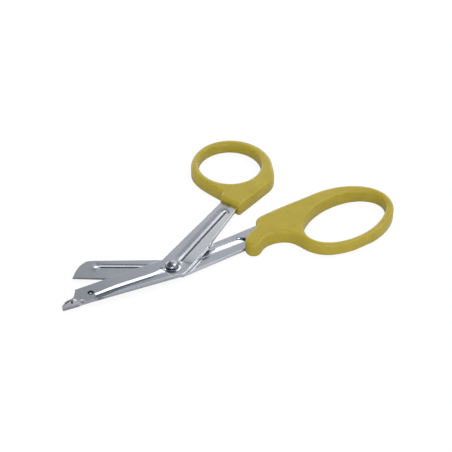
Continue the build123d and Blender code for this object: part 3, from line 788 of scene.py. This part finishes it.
class SCISSORS_OT_studio(bpy.types.Operator):
    """Makes the floor, the light and the camera"""

    bl_idname = "scissors.studio"
    bl_label = "Studio"

    def execute(self, context):
        scene, studio = context.scene, context.scene.scissors_studio
        scene.view_settings.view_transform = "Standard"
        self.floor()
        self.sky(scene)
        for name, place, target, size, power in LAMPS:
            self.lamp(name, place, target, size, power)
        camera = bpy.data.cameras.new("camera")
        camera.lens = studio.lens
        camera.sensor_width = 36.0
        camera.clip_start, camera.clip_end = 0.01, 50.0
        holder = bpy.data.objects.new("camera", camera)
        holder.location = studio.camera
        holder.rotation_euler = (math.pi / 2 - studio.elevation, 0, 0)
        scene.collection.objects.link(holder)
        scene.camera = holder
        return {"FINISHED"}

    def floor(self):
        """A pale floor, 6 m square. It shows white to the camera and takes the shadow."""
        half = 3.0 / MM
        points = np.array([[-half, -half, 0], [half, -half, 0], [half, half, 0], [-half, half, 0]])
        floor = new_piece("floor", points, [[0, 1, 2, 3]])
        made, tree, out = material("floor_pale_card")
        path = node(tree, "ShaderNodeLightPath")
        seen = node(tree, "ShaderNodeMath", {"operation": "MAXIMUM"},
                    i0=path.outputs["Is Camera Ray"], i1=path.outputs["Is Transmission Ray"])
        tone = node(tree, "ShaderNodeMix",
                    {"data_type": "RGBA", 6: linear("#dcdcde"), 7: linear("#626264")}, i0=seen.outputs[0])
        card = node(tree, "ShaderNodeBsdfDiffuse", Color=tone.outputs[2])
        share = node(tree, "ShaderNodeMath", {"operation": "MULTIPLY", 1: 0.9}, i0=seen.outputs[0])
        glow = node(tree, "ShaderNodeEmission", {"Color": linear("#ffffff")}, Strength=share.outputs[0])
        both = node(tree, "ShaderNodeAddShader", i0=card.outputs[0], i1=glow.outputs[0])
        tree.links.new(both.outputs[0], out.inputs[0])
        floor.data.materials.append(made)

    def sky(self, scene):
        """White to the camera and even for soft light. In the steel it is white near the far horizon,
        greyer higher up, and dark overhead and to the right."""
        world = bpy.data.worlds.new("studio")
        world.use_nodes = True
        scene.world = world
        tree = world.node_tree
        tree.nodes.clear()
        out = tree.nodes.new("ShaderNodeOutputWorld")
        way = node(tree, "ShaderNodeTexCoord").outputs["Generated"]
        tilt = node(tree, "ShaderNodeVectorMath", {"operation": "DOT_PRODUCT", 1: (0.0, -0.35, 0.94)},
                    i0=way)
        tones = node(tree, "ShaderNodeValToRGB", {"stops": [
            (0.0, "#ffffff"), (0.08, "#e6e7ea"), (0.3, "#b4b6bc"), (0.6, "#a0a6ad"), (0.9, "#6b7481")]},
            Fac=tilt.outputs["Value"])
        # Above the horizon the left is darker than the right
        cross = node(tree, "ShaderNodeSeparateXYZ", Vector=way)
        fade = node(tree, "ShaderNodeMapRange",
                    {"From Min": -0.13, "From Max": -0.05, "To Min": 0.64, "To Max": 1.15},
                    Value=cross.outputs["X"])
        graded = node(tree, "ShaderNodeVectorMath", {"operation": "SCALE"}, i0=tones.outputs["Color"],
                      Scale=fade.outputs[0])
        high = node(tree, "ShaderNodeMapRange", {"From Min": 0.12, "From Max": 0.25},
                    Value=tilt.outputs["Value"])
        sloped = node(tree, "ShaderNodeMix", {"data_type": "RGBA"}, i0=high.outputs[0],
                      i6=tones.outputs["Color"], i7=graded.outputs[0])
        # The dark side of the room, high on the right
        right = node(tree, "ShaderNodeVectorMath", {"operation": "DOT_PRODUCT", 1: (0.84, 0.0, 0.54)},
                     i0=way)
        side = node(tree, "ShaderNodeMapRange", {"From Min": 0.72, "From Max": 0.95},
                    Value=right.outputs["Value"])
        shaded = node(tree, "ShaderNodeMix", {"data_type": "RGBA", 7: linear("#494c57")},
                      i0=side.outputs[0], i6=sloped.outputs[2])
        path = node(tree, "ShaderNodeLightPath")
        soft = node(tree, "ShaderNodeMix", {"data_type": "RGBA", 6: linear("#d6d7da")},
                    i0=path.outputs["Is Glossy Ray"], i7=shaded.outputs[2])
        mixed = node(tree, "ShaderNodeMix", {"data_type": "RGBA", 7: linear("#ffffff")},
                     i0=path.outputs["Is Camera Ray"], i6=soft.outputs[2])
        back = node(tree, "ShaderNodeBackground", {"Strength": 1.0}, Color=mixed.outputs[2])
        tree.links.new(back.outputs[0], out.inputs[0])

    def lamp(self, name, place, target, size, power):
        """A soft box of a width and a height that faces a target: tipped by the angle between straight up
        and the way to it from the target, then turned by that way's direction on the floor."""
        light = bpy.data.lights.new(name, "AREA")
        light.shape = "RECTANGLE"
        light.size, light.size_y = size
        light.energy = power
        holder = bpy.data.objects.new(name, light)
        holder.location = place
        away = np.array(place) - np.array(target)
        level = math.hypot(away[0], away[1])
        holder.rotation_euler = (math.atan2(level, away[2]), 0, math.atan2(away[1], away[0]) + math.pi / 2)
        bpy.context.scene.collection.objects.link(holder)


class SCISSORS_PT_panel(bpy.types.Panel):
    """Lists the sizes, the colours and the pieces"""

    bl_label = "Bandage scissors"
    bl_idname = "SCISSORS_PT_panel"
    bl_space_type = "VIEW_3D"
    bl_region_type = "UI"
    bl_category = "Scissors"

    def draw(self, context):
        scene = context.scene
        for group in (scene.scissors_blades, scene.scissors_looks, scene.scissors_studio):
            box = self.layout.box()
            for name in group.__annotations__:
                box.prop(group, name)
        for operator in OPERATORS:
            self.layout.operator(operator.bl_idname)


GROUPS = {"scissors_blades": BladeSizes, "scissors_looks": Looks, "scissors_studio": StudioSizes}
OPERATORS = (SCISSORS_OT_probe_blade, SCISSORS_OT_plain_blade, SCISSORS_OT_handles, SCISSORS_OT_rivet,
             SCISSORS_OT_studio)


def register():
    """Adds the groups, the operators and the panel, and hangs the groups on the scene."""
    for made in (*GROUPS.values(), *OPERATORS, SCISSORS_PT_panel):
        bpy.utils.register_class(made)
    for name, group in GROUPS.items():
        setattr(bpy.types.Scene, name, bpy.props.PointerProperty(type=group))


def unregister():
    """Takes away what register adds, in the opposite order."""
    for name in GROUPS:
        delattr(bpy.types.Scene, name)
    for made in (SCISSORS_PT_panel, *reversed(OPERATORS), *GROUPS.values()):
        bpy.utils.unregister_class(made)


def main():
    """Registers the classes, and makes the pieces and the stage."""
    register()
    bpy.ops.scissors.probe_blade()
    bpy.ops.scissors.plain_blade()
    bpy.ops.scissors.handles()
    bpy.ops.scissors.rivet()
    bpy.ops.scissors.studio()


if __name__ == "__main__":
    main()
